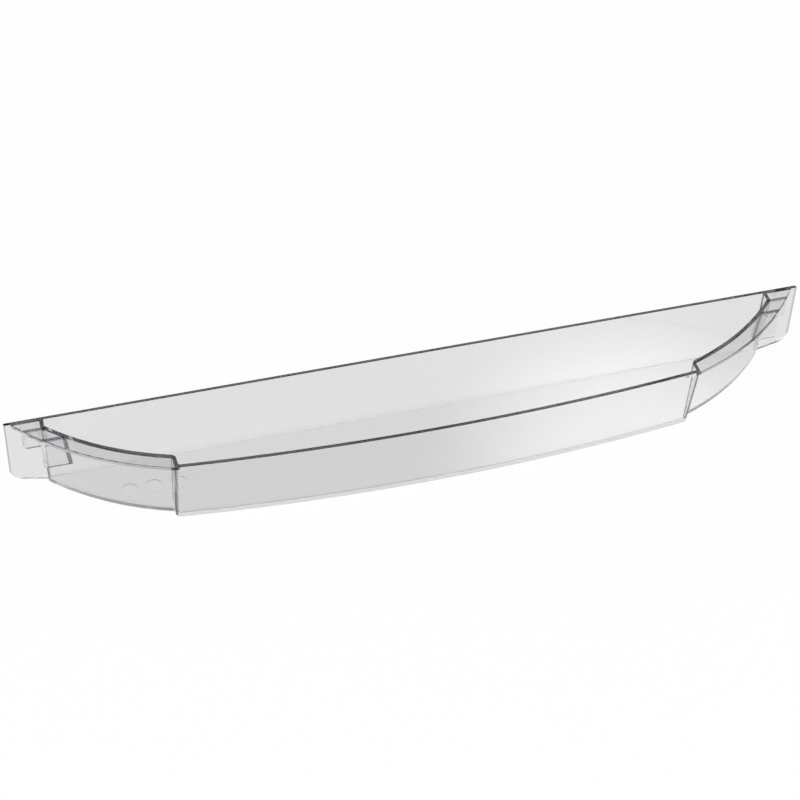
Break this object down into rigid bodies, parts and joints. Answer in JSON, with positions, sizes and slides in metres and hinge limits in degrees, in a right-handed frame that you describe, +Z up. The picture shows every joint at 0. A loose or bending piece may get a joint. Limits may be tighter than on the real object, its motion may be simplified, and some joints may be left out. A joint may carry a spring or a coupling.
{
  "type": "fridge door shelf",
  "caption": "Clear moulded fridge door shelf: long shallow tray with an arched front panel, curved flanged sides and ribbed end ears that hook onto lugs of the door liner.",
  "frame": {"origin": "middle of the overall length and depth, on the underside of the floor", "axes": "+X along the shelf, +Y towards the flat back face that faces the door liner, +Z up"},
  "size_m": [0.49, 0.0676, 0.0475],
  "materials": {
    "clear_plastic": "polished clear polystyrene, faint neutral grey"
  },
  "bodies": {
    "root": {"door_shelf": "clear_plastic"}
  },
  "joints": []
}
